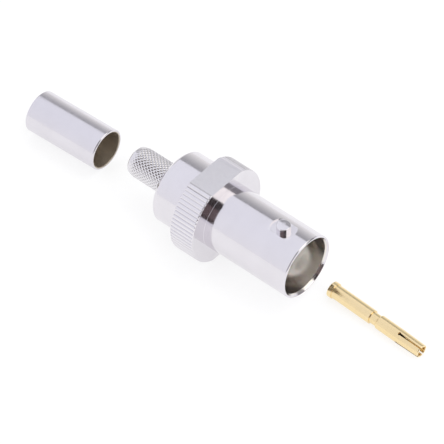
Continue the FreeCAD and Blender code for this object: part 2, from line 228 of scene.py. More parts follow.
class Graph:
    """Adds and joins nodes in one tree."""

    MIX_INPUTS = (0, 6, 7)
    MIX_RESULT = 2

    def __init__(self, tree: bpy.types.NodeTree) -> None:
        """Start on a tree."""
        self.tree = tree

    def add(self, kind: str, inputs: dict | None = None, **settings: object) -> bpy.types.Node:
        """Add a node.

        Args:
            kind: node type without its ShaderNode prefix.
            inputs: constants or links for its sockets, by name or number.
            settings: attributes of the node.

        Returns:
            The node.
        """
        node = self.tree.nodes.new(f"ShaderNode{kind}")
        for name, value in settings.items():
            setattr(node, name, value)
        for key, value in (inputs or {}).items():
            self.feed(node.inputs[key], value)
        return node

    def feed(self, socket: bpy.types.NodeSocket, value: object) -> None:
        """Link a socket to a node's output, or set its constant.

        Args:
            socket: the input.
            value: an output, or a constant.
        """
        if isinstance(value, bpy.types.NodeSocket):
            self.tree.links.new(value, socket)
        else:
            socket.default_value = value

    def math(self, operation: str, *values: object) -> bpy.types.NodeSocket:
        """Calculate with values.

        Args:
            operation: what is done with them.
            values: outputs or constants.

        Returns:
            The result.
        """
        node = self.add("Math", operation=operation)
        for socket, value in zip(node.inputs, values):
            self.feed(socket, value)
        return node.outputs[0]

    def mix(self, factor: object, first: object, second: object) -> bpy.types.NodeSocket:
        """Mix two colours.

        Args:
            factor: share of the second, clamped.
            first: a colour.
            second: a colour.

        Returns:
            The mixed colour.
        """
        node = self.add("Mix", data_type="RGBA", clamp_factor=True)
        for number, value in zip(self.MIX_INPUTS, (factor, first, second)):
            self.feed(node.inputs[number], value)
        return node.outputs[self.MIX_RESULT]

    def span(
            self, value: object, low: object, high: object,
            to_low: float = 0.0, to_high: float = 1.0) -> bpy.types.NodeSocket:
        """Map a value from one range to another, clamped.

        Args:
            value: what is mapped.
            low: start of its range.
            high: end of its range.
            to_low: result at the start.
            to_high: result at the end.

        Returns:
            The mapped value.
        """
        node = self.add("MapRange", clamp=True)
        for socket, given in zip(node.inputs, (value, low, high, to_low, to_high)):
            self.feed(socket, given)
        return node.outputs[0]


def new_group(
        name: str, inputs: dict[str, tuple[str, object]],
        outputs: dict[str, str]) -> tuple[Graph, bpy.types.Node, bpy.types.Node]:
    """A node group with named sockets.

    Args:
        name: the group's name.
        inputs: socket name to (Float or Vector, default).
        outputs: socket name to kind.

    Returns:
        The group's graph, its input node and its output node.
    """
    tree = bpy.data.node_groups.new(name, "ShaderNodeTree")
    for label, (kind, default) in inputs.items():
        socket = tree.interface.new_socket(label, in_out="INPUT", socket_type=f"NodeSocket{kind}")
        if default is not None:
            socket.default_value = default
    for label, kind in outputs.items():
        tree.interface.new_socket(label, in_out="OUTPUT", socket_type=f"NodeSocket{kind}")
    return Graph(tree), tree.nodes.new("NodeGroupInput"), tree.nodes.new("NodeGroupOutput")


def turned_marks_group() -> None:
    """Fine rings left by a cutting tool round the X axis: their height, a streak mask and the radius."""
    fine_share = 0.7
    broad_stretch = (0.11, 2.0, 2.0)
    graph, given, out = new_group(
        "TurnedMarks",
        {"Vector": ("Vector", None), "Rings per mm": ("Float", 14.0), "Wander": ("Float", 0.35)},
        {"Height": "Float", "Streak": "Float", "Radius": "Float"})
    parts = graph.add("SeparateXYZ", inputs={0: given.outputs["Vector"]})
    radius = graph.math("SQRT", graph.math(
        "ADD", graph.math("MULTIPLY", parts.outputs["Y"], parts.outputs["Y"]),
        graph.math("MULTIPLY", parts.outputs["Z"], parts.outputs["Z"])))
    safe = graph.math("MAXIMUM", radius, 1e-5)
    rings = graph.math("MULTIPLY", given.outputs["Rings per mm"], 1.0 / MM)
    round_y, round_z = (
        graph.math("MULTIPLY", graph.math("DIVIDE", parts.outputs[side], safe), given.outputs["Wander"])
        for side in ("Y", "Z"))
    along = graph.math("MULTIPLY", graph.math("ADD", parts.outputs["X"], radius), rings)
    place = graph.add("CombineXYZ", inputs={"X": along, "Y": round_y, "Z": round_z})
    fine = graph.add("TexNoise", inputs={
        "Vector": place.outputs[0], "Scale": 1.0, "Detail": 3.0, "Roughness": 0.6})
    broad_place = graph.add("VectorMath", operation="MULTIPLY", inputs={0: place.outputs[0]})
    broad_place.inputs[1].default_value = broad_stretch
    broad = graph.add("TexNoise", inputs={
        "Vector": broad_place.outputs[0], "Scale": 1.0, "Detail": 2.0, "Roughness": 0.5})
    graph.feed(out.inputs["Height"], graph.math(
        "ADD", graph.math("MULTIPLY", fine.outputs[0], fine_share),
        graph.math("MULTIPLY", broad.outputs[0], 1.0 - fine_share)))
    graph.feed(out.inputs["Streak"], graph.span(broad.outputs[0], 0.35, 0.68))
    graph.feed(out.inputs["Radius"], radius)


def handled_group() -> None:
    """Faint clouds of handling and small specks, both as masks."""
    specks_per_cloud = 5.0
    cloudy = 0.52
    graph, given, out = new_group(
        "Handled", {"Vector": ("Vector", None), "Cloud size": ("Float", 0.004)},
        {"Cloud": "Float", "Specks": "Float"})
    scale = graph.math("DIVIDE", 1.0, given.outputs["Cloud size"])
    cloud = graph.add("TexNoise", inputs={
        "Vector": given.outputs["Vector"], "Scale": scale, "Detail": 4.0, "Roughness": 0.55,
        "Distortion": 0.4})
    dots = graph.add("TexVoronoi", feature="F1", inputs={
        "Vector": given.outputs["Vector"], "Scale": graph.math("MULTIPLY", scale, specks_per_cloud),
        "Randomness": 1.0})
    sparse = graph.math("GREATER_THAN", cloud.outputs[0], cloudy)
    dot = graph.span(dots.outputs["Distance"], 0.05, 0.12, 1.0, 0.0)
    graph.feed(out.inputs["Cloud"], graph.span(cloud.outputs[0], 0.3, 0.7))
    graph.feed(out.inputs["Specks"], graph.math("MULTIPLY", dot, sparse))


def worn_edge_group() -> None:
    """Where proud edges are rubbed: a mask broken up by noise."""
    graph, given, out = new_group(
        "WornEdge", {"Edge": ("Float", 0.0), "Vector": ("Vector", None), "Amount": ("Float", 0.6)},
        {"Mask": "Float"})
    grain = graph.add("TexNoise", inputs={
        "Vector": given.outputs["Vector"], "Scale": 2600.0, "Detail": 3.0, "Roughness": 0.6})
    broken = graph.span(grain.outputs[0], 0.3, 0.65, 0.35, 1.0)
    worn = graph.math(
        "MULTIPLY", graph.math("MULTIPLY", given.outputs["Edge"], broken), given.outputs["Amount"])
    graph.feed(out.inputs["Mask"], graph.math("MINIMUM", worn, 1.0))


@dataclass(frozen=True)
class Pose:
    """Where a loose piece lies: its axis starts at a point and is turned, dipped and rolled.

    Args:
        start: start of the axis, in millimetres.
        turn: about Z, in degrees.
        dip: about its own Y, in degrees.
        roll: about its own axis, in degrees.
    """

    start: tuple[float, float, float] = (0.0, 0.0, 0.0)
    turn: float = 0.0
    dip: float = 0.0
    roll: float = 0.0

    def matrix(self) -> Matrix:
        """The placement, in millimetres."""
        return (Matrix.Translation(self.start) @ Matrix.Rotation(math.radians(self.turn), 4, "Z")
                @ Matrix.Rotation(math.radians(self.dip), 4, "Y")
                @ Matrix.Rotation(math.radians(self.roll), 4, "X"))


@dataclass(frozen=True)
class Surface:
    """A new material and what every finish reads over it.

    Args:
        material: the material.
        graph: its nodes.
        shader: its shader node.
        place: coordinates on the axis that the marks run round.
        marks: height, streaks and radius of the turning marks.
        handled: clouds and specks of handling.
        wear: mask of the rubbed edges.
    """

    material: bpy.types.Material
    graph: Graph
    shader: bpy.types.Node
    place: bpy.types.NodeSocket
    marks: bpy.types.Node
    handled: bpy.types.Node
    wear: bpy.types.Node


@dataclass(frozen=True)
class Finish:
    """What every finish shares.

    Args:
        name: the material's name.
        tint: base colour, linear.
        roughness: of the clean surface.
        rings_per_mm: fineness of the turning marks.
        mark_depth: height of the turning marks, in metres.
        pose: the axis that the marks run round.
    """

    name: str
    tint: Colour
    roughness: float
    rings_per_mm: float = 14.0
    mark_depth: float = 4e-7
    pose: Pose = Pose()

    def start(self) -> Surface:
        """Make the material and the masks that it reads.

        Returns:
            The bare surface.
        """
        material = bpy.data.materials.new(self.name)
        material.use_nodes = True
        graph = Graph(material.node_tree)
        place = graph.add("TexCoord").outputs["Object"]
        if self.pose != Pose():
            place = graph.add("Mapping", vector_type="TEXTURE", inputs={
                "Vector": place, "Location": Vector(self.pose.start) * MM,
                "Rotation": self.pose.matrix().to_euler()}).outputs[0]
        marks = graph.add("Group", node_tree=bpy.data.node_groups["TurnedMarks"], inputs={
            "Vector": place, "Rings per mm": self.rings_per_mm})
        handled = graph.add("Group", node_tree=bpy.data.node_groups["Handled"], inputs={
            "Vector": place})
        edge = graph.add("Attribute", attribute_name="edge_wear")
        wear = graph.add("Group", node_tree=bpy.data.node_groups["WornEdge"], inputs={
            "Edge": edge.outputs["Fac"], "Vector": place})
        shader = material.node_tree.nodes["Principled BSDF"]
        return Surface(material, graph, shader, place, marks, handled, wear)

    def dress(self, surface: Surface, colour: object, rough: object, strength: object) -> None:
        """Join colour, roughness and the relief of the turning marks to the shader.

        Args:
            surface: what is dressed.
            colour: over the surface.
            rough: roughness over the surface.
            strength: of the marks, from 0 to 1.
        """
        height = surface.marks.outputs["Height"]
        bump = surface.graph.add("Bump", inputs={
            "Strength": strength, "Distance": self.mark_depth, "Height": height})
        surface.graph.feed(surface.shader.inputs["Base Color"], colour)
        surface.graph.feed(surface.shader.inputs["Roughness"], rough)
        surface.graph.feed(surface.shader.inputs["Normal"], bump.outputs[0])


@dataclass(frozen=True)
class MetalFinish(Finish):
    """Bright plating over turned brass.

    Args:
        worn_tint: colour where proud edges are rubbed.
        inner_radius: surfaces nearer the axis than this are the bore, in metres, 0 for none.
        bore_shading_tint: colour painted in the bore in place of its light and shade, browner than the
            plating.
        inner_roughness: added in the bore.
        flat_height: surfaces further above or below the axis are milled flats, in metres, 0 for none.
        painted_groove_shade_tint: painted shade colour at the bottom of the knurl's grooves.
        cloud_share: strength of the clouds of handling.
        cloud_tint: a cloud's colour, as a share of the tint.
        speck_share: strength of the specks.
        speck_tint: a speck's colour, as a share of the tint.
        cloud_roughness: added in a cloud, as a share of the roughness.
        streak_roughness: added in a streak, as a share of the roughness.
        hollow_roughness: added at the bottom of a groove.
        worn_roughness: added where edges are rubbed.
        milled_roughness: added on a milled flat.
        milled_smoothing: share of the turning marks that a flat doesn't have.
    """

    worn_tint: Colour = (0.86, 0.85, 0.86)
    inner_radius: float = 0.0
    bore_shading_tint: Colour = (0.5, 0.47, 0.42)
    inner_roughness: float = 0.3
    flat_height: float = 0.0
    painted_groove_shade_tint: Colour = (0.12, 0.11, 0.11)
    cloud_share: float = 0.6
    cloud_tint: float = 0.93
    speck_share: float = 0.25
    speck_tint: float = 0.6
    cloud_roughness: float = 0.35
    streak_roughness: float = 0.4
    hollow_roughness: float = 0.2
    worn_roughness: float = 0.06
    milled_roughness: float = 0.08
    milled_smoothing: float = 0.92

    def build(self) -> bpy.types.Material:
        """Make the material."""
        surface = self.start()
        graph = surface.graph
        cloud = surface.handled.outputs["Cloud"]
        specks = surface.handled.outputs["Specks"]
        streak = surface.marks.outputs["Streak"]
        worn = surface.wear.outputs["Mask"]
        # Painted shade stored on the knurled meshes: it darkens their grooves and also roughens them.
        painted_groove_shade = graph.add("Attribute", attribute_name="painted_groove_shade").outputs["Fac"]
        colour = graph.mix(
            graph.math("MULTIPLY", cloud, self.cloud_share),
            opaque(self.tint), opaque(self.tint, self.cloud_tint))
        colour = graph.mix(
            graph.math("MULTIPLY", specks, self.speck_share), colour, opaque(self.tint, self.speck_tint))
        colour = graph.mix(worn, colour, opaque(self.worn_tint))
        # Painted shade: darken the bottoms of the knurls' grooves.
        colour = graph.mix(painted_groove_shade, colour, opaque(self.painted_groove_shade_tint))
        rough = self.roughness
        for mask, added in (
                (cloud, self.roughness * self.cloud_roughness), (painted_groove_shade, self.hollow_roughness),
                (streak, self.roughness * self.streak_roughness), (worn, self.worn_roughness)):
            rough = graph.math("ADD", rough, graph.math("MULTIPLY", mask, added))
        # Painted shading in the bore: it gets a browner colour, and more roughness.
        if self.inner_radius > 0.0:
            inside = graph.math("LESS_THAN", surface.marks.outputs["Radius"], self.inner_radius)
            colour = graph.mix(inside, colour, opaque(self.bore_shading_tint))
            rough = graph.math("ADD", rough, graph.math("MULTIPLY", inside, self.inner_roughness))
        strength = 1.0
        if self.flat_height > 0.0:
            height = graph.add("SeparateXYZ", inputs={0: surface.place}).outputs["Z"]
            milled = graph.math("GREATER_THAN", graph.math("ABSOLUTE", height), self.flat_height)
            rough = graph.math("ADD", rough, graph.math("MULTIPLY", milled, self.milled_roughness))
            strength = graph.math(
                "SUBTRACT", 1.0, graph.math("MULTIPLY", milled, self.milled_smoothing))
        self.dress(surface, colour, rough, strength)
        surface.shader.inputs["Metallic"].default_value = 1.0
        return surface.material


@dataclass(frozen=True)
class DielectricFinish(Finish):
    """Waxy white plastic with faint tool marks.

    Args:
        worn_tint: colour where proud edges are rubbed.
        cloud_tint: a cloud's colour, as a share of the tint.
        streak_roughness: added in a streak.
        glow_share: how much light goes under the surface.
        glow_reach: how deep it goes, in metres.
    """

    worn_tint: Colour = (0.95, 0.95, 0.94)
    cloud_tint: float = 0.9
    streak_roughness: float = 0.12
    glow_share: float = 0.15
    glow_reach: float = 0.0005

    def build(self) -> bpy.types.Material:
        """Make the material."""
        surface = self.start()
        graph = surface.graph
        colour = graph.mix(
            surface.handled.outputs["Cloud"], opaque(self.tint), opaque(self.tint, self.cloud_tint))
        colour = graph.mix(surface.wear.outputs["Mask"], colour, opaque(self.worn_tint))
        streak = surface.marks.outputs["Streak"]
        rough = graph.math(
            "ADD", self.roughness, graph.math("MULTIPLY", streak, self.streak_roughness))
        self.dress(surface, colour, rough, 1.0)
        surface.shader.inputs["Subsurface Weight"].default_value = self.glow_share
        surface.shader.inputs["Subsurface Scale"].default_value = self.glow_reach
        return surface.material


@dataclass(frozen=True)
class Piece:
    """A finished piece.

    Args:
        name: its name.
        nodes: the plain solids that it stands for.
        slot: its material slot; not used.
        finish: its material.
    """

    name: str
    nodes: list[str]
    slot: Slot
    finish: bpy.types.Material

    def place(self, solid: bmesh.types.BMesh, pose: Pose = Pose()) -> bpy.types.Object:
        """Turn a solid into the shown object.

        Args:
            solid: the piece in its own axes, in millimetres.
            pose: where it lies.

        Returns:
            The object, at the origin.
        """
        mark_edges(solid)
        for edge in solid.edges:
            edge.smooth = edge.smooth and edge.calc_face_angle(0.0) < SHARP_ANGLE
        mesh = bpy.data.meshes.new(self.name)
        bmesh.ops.transform(solid, matrix=pose.matrix(), verts=list(solid.verts))
        solid.to_mesh(mesh)
        solid.free()
        mesh.shade_smooth()
        mesh.materials.append(self.finish)
        piece = bpy.data.objects.new(self.name, mesh)
        bpy.context.scene.collection.objects.link(piece)
        self.even_normals(piece)
        piece.data.transform(Matrix.Scale(MM, 4))
        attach(piece, "root")
        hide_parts(*self.nodes)
        triangles = sum(len(p.vertices) - 2 for p in piece.data.polygons)
        LOG.info("%s: %d triangles", self.name, triangles)
        return piece

    def even_normals(self, piece: bpy.types.Object) -> None:
        """Let large faces keep their own normals, so that rounded corners don't bend what they mirror.

        Args:
            piece: the object, with its mesh in millimetres, in which its smallest faces count too.
        """
        even = piece.modifiers.new("even", "WEIGHTED_NORMAL")
        even.mode = "FACE_AREA"
        even.weight = 100
        even.thresh = 0.002
        even.keep_sharp = True
        graph = bpy.context.evaluated_depsgraph_get()
        graph.update()
        first = piece.data
        piece.data = bpy.data.meshes.new_from_object(piece.evaluated_get(graph))
        piece.modifiers.clear()
        bpy.data.meshes.remove(first)
        piece.data.name = self.name


@dataclass(frozen=True)
class ConnectorBody:
    """Turned body: mating shell, knurled flange with two flats, rear barrel.

    Spans are from and to behind the mouth, in millimetres, and sizes are radii.

    Args:
        shell_radius: of the mating shell.
        shell_rings: two plain rings that keep the shell's facets short.
        mouth_bore: of the mouth.
        mouth_end: where the mouth narrows.
        contact_bore: in which the mating plug's fingers spring.
        lip_bore: of the lip that stops the front bush.
        lip_span: of the lip.
        bush_bore: for both bushes.
        sleeve_bore: for the crimp sleeve's head.
        sleeve_seat: where the sleeve's head stops.
        flange_radius: over the knurl.
        flange_span: of the flange.
        flange_chamfer: at both of its edges.
        barrel_radius: of the plain rear barrel.
        barrel_end: where the body ends.
        barrel_chamfer: at that end.
        teeth: knurl teeth round the flange.
        steps_per_tooth: facets across one tooth and its groove.
        groove_depth: depth of a groove, which runs out at both edges.
        groove_width: of a groove at the top.
        groove_reach: how far below the knurl a point may lie and still be pressed.
        groove_shade: how dark the painted shade in a groove is.
        flat_height: of both wrench flats from the axis.
        spot_radius: of the spot face milled round each stud.
        spot_height: of both spot faces from the axis.
    """

    shell_radius: float = 4.825
    shell_rings: tuple[float, float] = (2.2, 6.1)
    mouth_bore: float = 4.25
    mouth_end: float = 4.7
    contact_bore: float = 4.06
    lip_bore: float = 3.1
    lip_span: tuple[float, float] = (8.9, 9.7)
    bush_bore: float = 3.5
    sleeve_bore: float = 4.0
    sleeve_seat: float = 20.5
    flange_radius: float = 7.2
    flange_span: tuple[float, float] = (14.2, 18.2)
    flange_chamfer: float = 0.13
    barrel_radius: float = 5.45
    barrel_end: float = 23.2
    barrel_chamfer: float = 0.45
    teeth: int = 72
    steps_per_tooth: int = 10
    groove_depth: float = 0.1
    groove_width: float = 0.3
    groove_reach: float = 0.14
    groove_shade: float = 0.12
    flat_height: float = 6.45
    spot_radius: float = 1.87
    spot_height: float = 4.62

    def profile(self) -> list[Corner]:
        """The outline, from the mouth round the outside and back through the bores."""
        shell, flange, barrel = self.shell_radius, self.flange_radius, self.barrel_radius
        front, rear = self.flange_span
        lip_front, lip_rear = self.lip_span
        edge, end, cut = self.flange_chamfer, self.barrel_end, self.barrel_chamfer
        rings = [(ring, shell, 0.0) for ring in self.shell_rings]
        return behind_mouth([
            (0.0, self.mouth_bore + 0.3, 0.03), (0.0, shell - 0.15, 0.05), (0.15, shell, 0.06), *rings,
            (front, shell, 0.04), (front, flange - edge, 0.04), (front + edge, flange, 0.04),
            (rear - edge, flange, 0.04), (rear, flange - edge, 0.04), (rear, barrel, 0.05),
            (end - cut, barrel, 0.12), (end, barrel - cut, 0.1), (end, self.sleeve_bore, 0.06),
            (self.sleeve_seat, self.sleeve_bore, 0.0), (self.sleeve_seat, self.bush_bore, 0.0),
            (lip_rear, self.bush_bore, 0.0), (lip_rear, self.lip_bore, 0.0),
            (lip_front, self.lip_bore, 0.03), (lip_front, self.contact_bore, 0.05),
            (self.mouth_end, self.contact_bore, 0.03), (self.mouth_end, self.mouth_bore, 0.03),
            (0.4, self.mouth_bore, 0.05)])

    def knurl(self, solid: bmesh.types.BMesh) -> None:
        """Press the straight grooves into the flange, and store a painted shade that darkens each
        groove.

        Args:
            solid: the turned body.
        """
        layer = solid.verts.layers.float.new("painted_groove_shade")
        pitch = FULL_TURN / self.teeth
        front, rear = (MOUTH - b for b in self.flange_span)
        for vert in solid.verts:
            radius = math.hypot(vert.co.y, vert.co.z)
            on_rim = radius >= self.flange_radius - self.groove_reach
            if not on_rim or not rear - SLACK <= vert.co.x <= front + SLACK:
                continue
            angle = math.atan2(vert.co.y, vert.co.z)
            off = abs((angle / pitch + 0.5) % 1.0 - 0.5) * pitch * self.flange_radius
            share = max(0.0, 1.0 - 2.0 * off / self.groove_width)
            limit = self.flange_radius - share * self.groove_depth
            if radius > limit:
                vert.co.y *= limit / radius
                vert.co.z *= limit / radius
                # Painted shade: the deeper into a groove, the darker.
                vert[layer] = self.groove_shade * share

    def mill_flats(self, solid: bmesh.types.BMesh) -> None:
        """Mill the two wrench flats, on top of the flange and under it.

        Args:
            solid: the knurled body.
        """
        for side in (1, -1):
            geometry = list(solid.verts) + list(solid.edges) + list(solid.faces)
            bmesh.ops.bisect_plane(
                solid, geom=geometry, plane_co=(0, 0, side * self.flat_height),
                plane_no=(0, 0, side), clear_outer=True, dist=WELD)
            rim = [e for e in solid.edges if e.is_boundary]
            bmesh.ops.holes_fill(solid, edges=rim, sides=0)

    def spot_cutter(self) -> bmesh.types.BMesh:
        """The two upright cylinders that leave a flat round the foot of each stud."""
        depth = 1.5
        cutter = bmesh.new()
        for side in (1, -1):
            bmesh.ops.create_cone(
                cutter, cap_ends=True, segments=96, radius1=self.spot_radius, radius2=self.spot_radius,
                depth=depth, matrix=Matrix.Translation((0, 0, side * (self.spot_height + depth / 2))))
        return cutter

    def on_spot_face(self, vert: bmesh.types.BMVert) -> bool:
        """Whether a point lies on one of the two spot faces."""
        level = abs(abs(vert.co.z) - self.spot_height) < SLACK
        return level and math.hypot(vert.co.x, vert.co.y) < self.spot_radius + 10.0 * SLACK

    def build(self, finish: bpy.types.Material) -> bpy.types.Object:
        """Make the shown body.

        Args:
            finish: its material.

        Returns:
            The object.
        """
        solid = Lathe(self.teeth * self.steps_per_tooth).turn(self.profile())
        self.knurl(solid)
        self.mill_flats(solid)
        solid = carve(solid, self.spot_cutter())
        for edge in solid.edges:
            edge.smooth = not all(self.on_spot_face(vert) for vert in edge.verts)
        return Piece("body", ["connector_body"], Slot.BODY, finish).place(solid)


@dataclass(frozen=True)
class BayonetStud:
    """Pressed stud that stands in its spot face, with a tip that follows the shell's curve.

    Args:
        above: whether it stands on top of the shell or hangs below.
        radius: of the stud.
        tip: height of its tip from the axis.
        crown: depth of the tip that takes the curve.
        foot: height of its hidden foot from the axis.
    """

    above: bool
    radius: float = 1.0
    tip: float = 5.5
    crown: float = 0.2
    foot: float = 4.4

    def build(self, finish: bpy.types.Material) -> bpy.types.Object:
        """Make the shown stud.

        Args:
            finish: its material.

        Returns:
            The object.
        """
        solid = Lathe(128, 4).turn([
            Corner(self.foot, 0.0), Corner(self.foot, self.radius, 0.03),
            Corner(self.tip, self.radius, 0.09), Corner(self.tip, 0.0)])
        for vert in solid.verts:
            if vert.co.x > self.tip - self.crown:
                vert.co.x -= self.tip - math.sqrt(self.tip**2 - vert.co.y**2)
        upright = Matrix.Rotation(-math.pi / 2, 4, "Y")
        bmesh.ops.transform(solid, matrix=upright, verts=list(solid.verts))
        name = "upper_stud" if self.above else "lower_stud"
        node = "upper_bayonet_stud" if self.above else "lower_bayonet_stud"
        pose = Pose() if self.above else Pose(roll=180.0)
        return Piece(name, [node], Slot.BODY, finish).place(solid, pose)


@dataclass(frozen=True)
class Insulators:
    """Two turned white bushes that hold the centre contact.

    Sizes are radii, and places are distances behind the mouth, in millimetres.

    Args:
        nose_radius: of the nose inside the mouth.
        nose_start: where the nose begins.
        waist_radius: where the front bush passes the body's lip.
        waist_span: from and to of that waist.
        seat_radius: of both bushes in the body.
        meeting: where the two bushes meet.
        rear_end: where the rear bush ends.
        contact_bore: for the contact's barrel.
        catch_bore: of the lip that the contact's groove snaps over.
        catch_length: of that lip.
        lead_in: width and depth of the funnel at both outer ends.
    """

    nose_radius: float = 2.4
    nose_start: float = 4.9
    waist_radius: float = 3.1
    waist_span: tuple[float, float] = (8.9, 9.7)
    seat_radius: float = 3.5
    meeting: float = 13.7
    rear_end: float = 20.5
    contact_bore: float = 1.1
    catch_bore: float = 0.9
    catch_length: float = 0.9
    lead_in: tuple[float, float] = (0.35, 0.5)

    def front_profile(self) -> list[Corner]:
        """The front bush's outline, from its nose round the outside and back through the bore."""
        widened, funnel = self.lead_in
        bevel = 0.25
        waist_front, waist_rear = self.waist_span
        catch = self.meeting - self.catch_length
        return behind_mouth([
            (self.nose_start, self.contact_bore + widened, 0.04),
            (self.nose_start, self.nose_radius - bevel, 0.05),
            (self.nose_start + bevel, self.nose_radius, 0.06), (waist_front, self.nose_radius, 0.0),
            (waist_front, self.waist_radius, 0.0), (waist_rear, self.waist_radius, 0.0),
            (waist_rear, self.seat_radius, 0.05), (self.meeting, self.seat_radius, 0.05),
            (self.meeting, self.catch_bore, 0.03), (catch, self.catch_bore, 0.03),
            (catch, self.contact_bore, 0.0), (self.nose_start + funnel, self.contact_bore, 0.05)])

    def rear_profile(self) -> list[Corner]:
        """The rear bush's outline, from where it meets the front one."""
        widened, funnel = self.lead_in
        return behind_mouth([
            (self.meeting, self.contact_bore, 0.03), (self.meeting, self.seat_radius, 0.05),
            (self.rear_end, self.seat_radius, 0.05),
            (self.rear_end, self.contact_bore + widened, 0.04),
            (self.rear_end - funnel, self.contact_bore, 0.05)])

    def build(self, finish: bpy.types.Material) -> list[bpy.types.Object]:
        """Make both shown bushes.

        Args:
            finish: their material.

        Returns:
            The objects.
        """
        made = []
        for name, node, profile in (
                ("nose_bush", "front_insulator", self.front_profile()),
                ("rear_bush", "rear_insulator", self.rear_profile())):
            made.append(Piece(name, [node], Slot.WHITE, finish).place(Lathe(128).turn(profile)))
        return made


@dataclass(frozen=True)
class CrimpSleeve:
    """Sleeve with a fine diamond knurl that runs out on its tapered end.

    Spans are from and to behind the mouth, in millimetres, and sizes are radii.

    Args:
        bore: for the cable's dielectric.
        head_radius: of the head inside the body's barrel.
        head_span: of the head.
        radius: over the knurl.
        core: below this radius nothing is knurled.
        end: where the sleeve ends.
        knurled: span of the knurl.
        fade: lengths over which the knurl comes in at the head and runs out at the end.
        taper_start: where the sleeve begins to taper.
        taper_length: length of the taper.
        taper_drop: how much the radius shrinks over it.
        diamonds: knurl diamonds round the sleeve.
        pitch: length of one diamond along the axis.
        depth: of the knurl where two grooves cross.
        groove_share: half a groove's width, as a share of the pitch.
        line_share: depth along a groove, as a share of the depth where two cross.
        line_shade: painted shade along a groove, as a share of that where two cross.
        rings_per_mm: fineness of the mesh along the knurl.
        steps_per_diamond: facets round one diamond.
    """

    bore: float = 1.575
    head_radius: float = 4.0
    head_span: tuple[float, float] = (20.5, 23.2)
    radius: float = 2.3
    core: float = 2.05
    end: float = 30.6
    knurled: tuple[float, float] = (23.25, 30.25)
    fade: tuple[float, float] = (0.1, 0.9)
    taper_start: float = 29.5
    taper_length: float = 0.9
    taper_drop: float = 0.2
    diamonds: int = 24
    pitch: float = 0.6
    depth: float = 0.17
    groove_share: float = 0.3
    line_share: float = 0.4
    line_shade: float = 0.08
    rings_per_mm: float = 16.0
    steps_per_diamond: int = 10

    def profile(self) -> list[Corner]:
        """The outline, from the head round the outside and back through the bore."""
        head_front, head_rear = self.head_span
        start, end = self.knurled
        count = round((end - start) * self.rings_per_mm)
        stations = [
            (head_front, self.bore, 0.03), (head_front, self.head_radius, 0.05),
            (head_rear, self.head_radius, 0.06), (head_rear, self.radius, 0.0)]
        for ring in range(count + 1):
            along = start + (end - start) * ring / count
            tapered = max(0.0, along - self.taper_start) / self.taper_length
            stations.append((along, self.radius - self.taper_drop * tapered, 0.0))
        lowest = self.radius - self.taper_drop
        stations += [
            (self.end - 0.2, lowest, 0.05), (self.end, lowest - 0.2, 0.08), (self.end, self.bore, 0.05)]
        return behind_mouth(stations)

    def grooves(self, angle: float, along: float) -> tuple[float, float]:
        """Measure both crossing sets of grooves at a point.

        Args:
            angle: round the axis, in radians.
            along: station on the axis.

        Returns:
            How deep the point lies in each set, from 0 to 1.
        """
        turn = angle / FULL_TURN * self.diamonds
        phases = [(turn + way * along / self.pitch) % 1.0 for way in (1.0, -1.0)]
        first, second = (max(0.0, 1.0 - abs(p - 0.5) / self.groove_share) for p in phases)
        return first, second

    def build(self, finish: bpy.types.Material) -> bpy.types.Object:
        """Make the shown sleeve.

        Args:
            finish: its material.

        Returns:
            The object.
        """
        front, rear = (MOUTH - b for b in self.knurled)
        fade_in, fade_out = self.fade
        solid = Lathe(self.diamonds * self.steps_per_diamond).turn(self.profile())
        layer = solid.verts.layers.float.new("painted_groove_shade")
        for vert in solid.verts:
            radius = math.hypot(vert.co.y, vert.co.z)
            on_skin = self.core < radius < self.radius + 100.0 * SLACK
            if not on_skin or not rear - SLACK <= vert.co.x <= front + SLACK:
                continue
            fade = max(0.0, min(1.0, (front - vert.co.x) / fade_in, (vert.co.x - rear) / fade_out))
            first, second = self.grooves(math.atan2(vert.co.y, vert.co.z), vert.co.x)
            line, crossing = max(first, second), first * second
            cut = self.depth * (self.line_share * line + (1.0 - self.line_share) * crossing) * fade
            vert.co.y *= 1.0 - cut / radius
            vert.co.z *= 1.0 - cut / radius
            # Painted shade: grooves are darkened, most where two of them cross.
            vert[layer] = fade * (self.line_shade * line + (1.0 - self.line_shade) * crossing)
        return Piece("crimp_tube", ["crimp_sleeve"], Slot.SLEEVE, finish).place(solid)


@dataclass(frozen=True)
class Ferrule:
    """Plain drawn tube with rounded rims, loose on the floor behind the sleeve.

    Args:
        length: of the tube.
        radius: of its outside.
        bore: radius of its inside.
        rounding: of its rims.
    """

    length: float = 12.3
    radius: float = 3.15
    bore: float = 2.75
    rounding: float = 0.16

    def pose(self) -> Pose:
        """Where it lies on the floor, from the rim that faces the sleeve."""
        return Pose(start=(-32.9, 0.91, FLOOR_Z + self.radius), turn=2.1)

    def build(self, finish: bpy.types.Material) -> bpy.types.Object:
        """Make the shown tube.

        Args:
            finish: its material.

        Returns:
            The object.
        """
        solid = Lathe(256, 5).turn([
            Corner(0.0, self.radius, self.rounding), Corner(-self.length, self.radius, self.rounding),
            Corner(-self.length, self.bore, self.rounding), Corner(0.0, self.bore, self.rounding)])
        return Piece("ferrule_tube", ["ferrule"], Slot.TUBE, finish).place(solid, self.pose())


